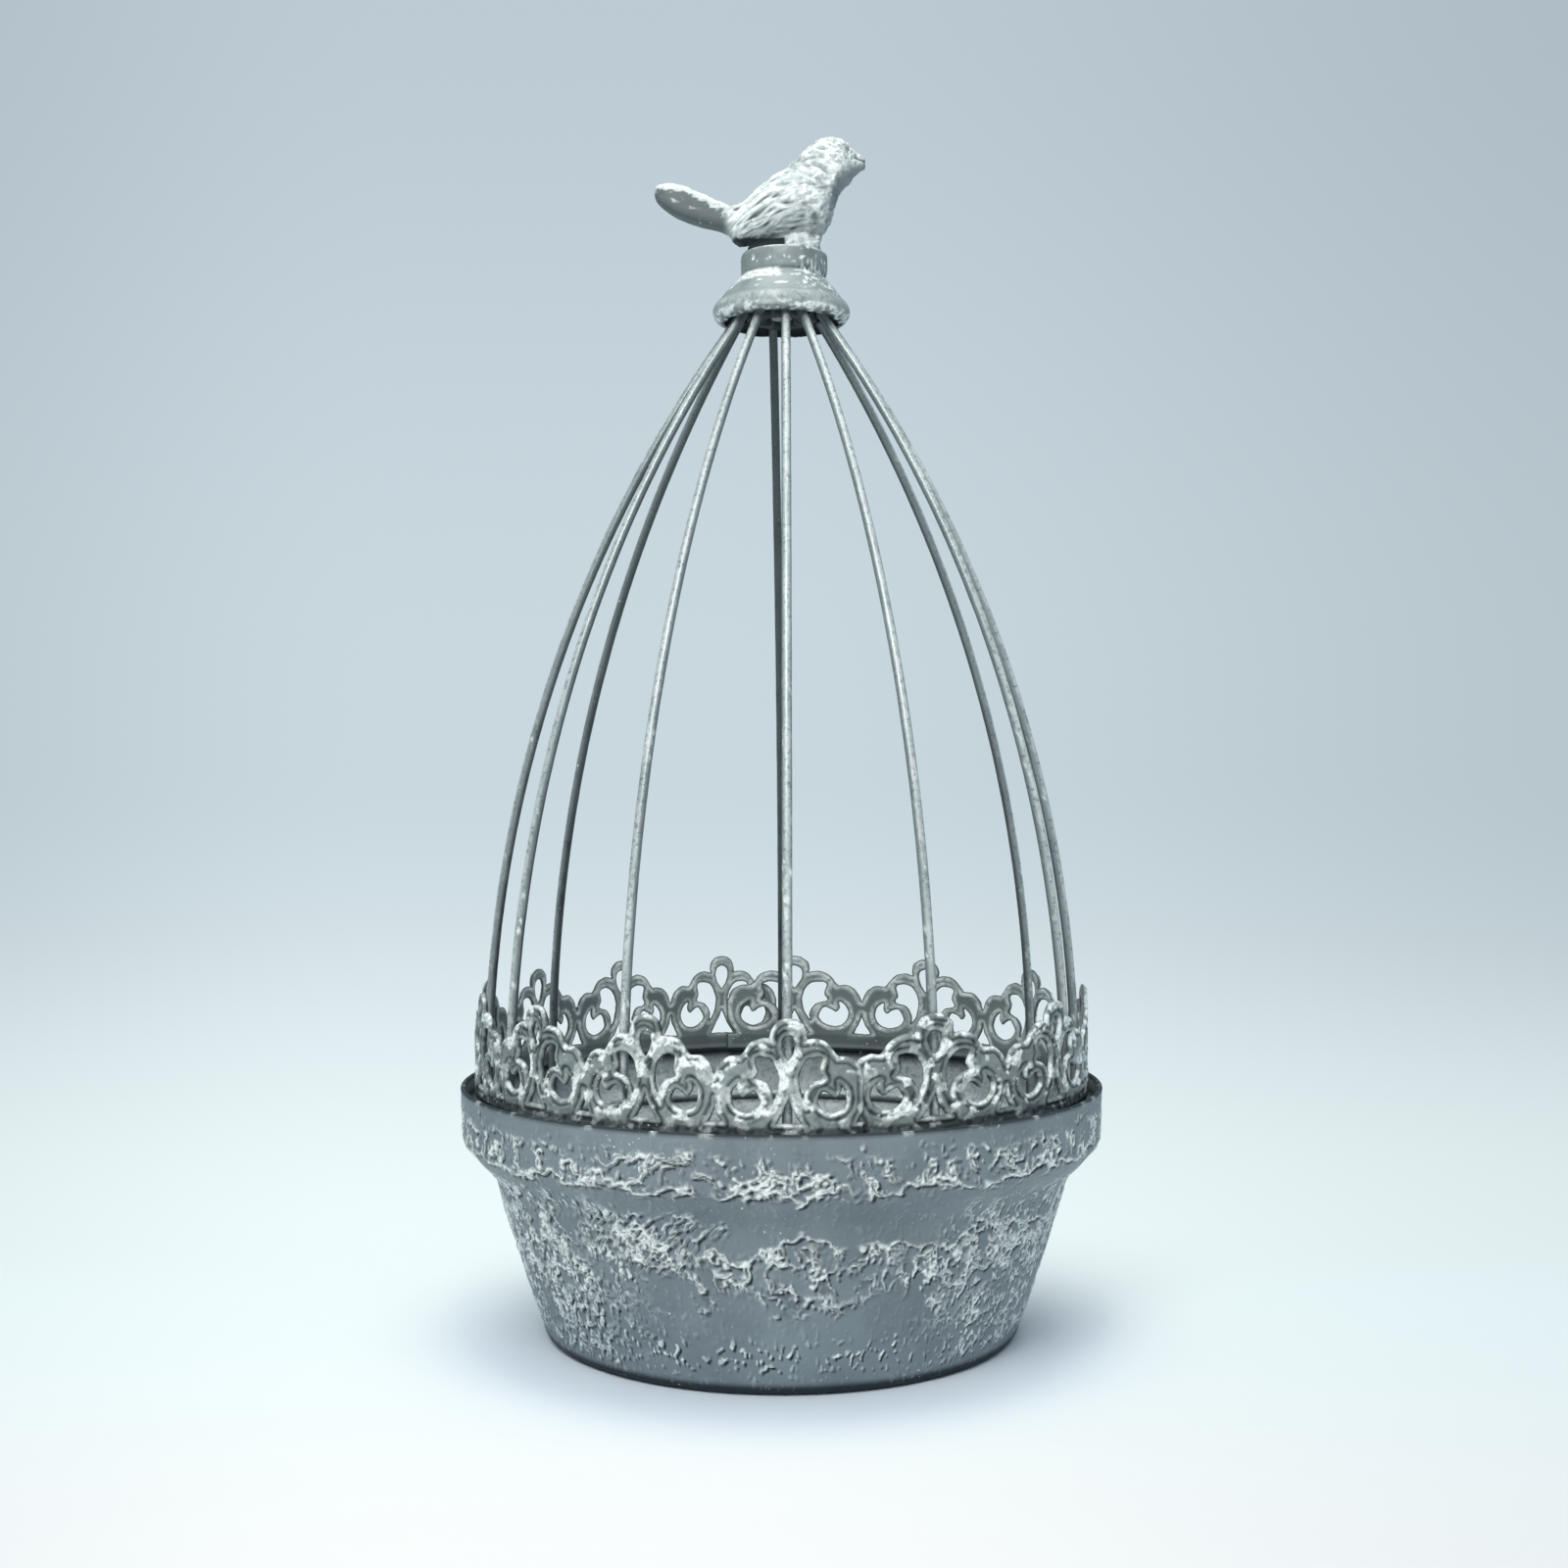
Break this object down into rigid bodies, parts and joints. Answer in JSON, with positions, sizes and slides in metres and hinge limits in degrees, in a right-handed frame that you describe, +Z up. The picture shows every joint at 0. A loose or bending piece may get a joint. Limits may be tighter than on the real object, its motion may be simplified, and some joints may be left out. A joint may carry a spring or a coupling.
{
  "type": "birdcage planter",
  "caption": "Domed wire birdcage planter: ribs and a scroll lace band rise from a round pressed-metal tub to a bell cap with a cast bird; the cage lifts off for planting.",
  "frame": {"origin": "middle of the tub's underside, in the plane it stands on", "axes": "+Z up through the bird; the front seen in the picture faces -Y and the bird's beak points to +X"},
  "size_m": [0.22, 0.22, 0.4122],
  "materials": {
    "grey_wash": "matt grey-blue paint with a cracked, rubbed white wash over it",
    "pale_wash": "the same paint with the white wash dry-brushed over raised feathers",
    "zinc": "dull zinc plate"
  },
  "bodies": {
    "pot": {"tub": "grey_wash"},
    "cage": {"base_hoop": "grey_wash", "rib_01": "grey_wash", "rib_02": "grey_wash", "rib_03": "grey_wash", "rib_04": "grey_wash", "rib_05": "grey_wash", "rib_06": "grey_wash", "rib_07": "grey_wash", "rib_08": "grey_wash", "rib_09": "grey_wash", "rib_10": "grey_wash", "lace_strip_right": "grey_wash", "lace_strip_left": "grey_wash", "crown_hub": "grey_wash", "bell_cap": "grey_wash", "bird": "pale_wash", "finial_stud": "zinc", "finial_washer": "zinc", "finial_nut": "zinc"}
  },
  "joints": [
    {"name": "cage_lift", "type": "slide", "parent": "pot", "child": "cage", "axis": [0, 0, 1], "range_m": [0, 0.12]}
  ]
}
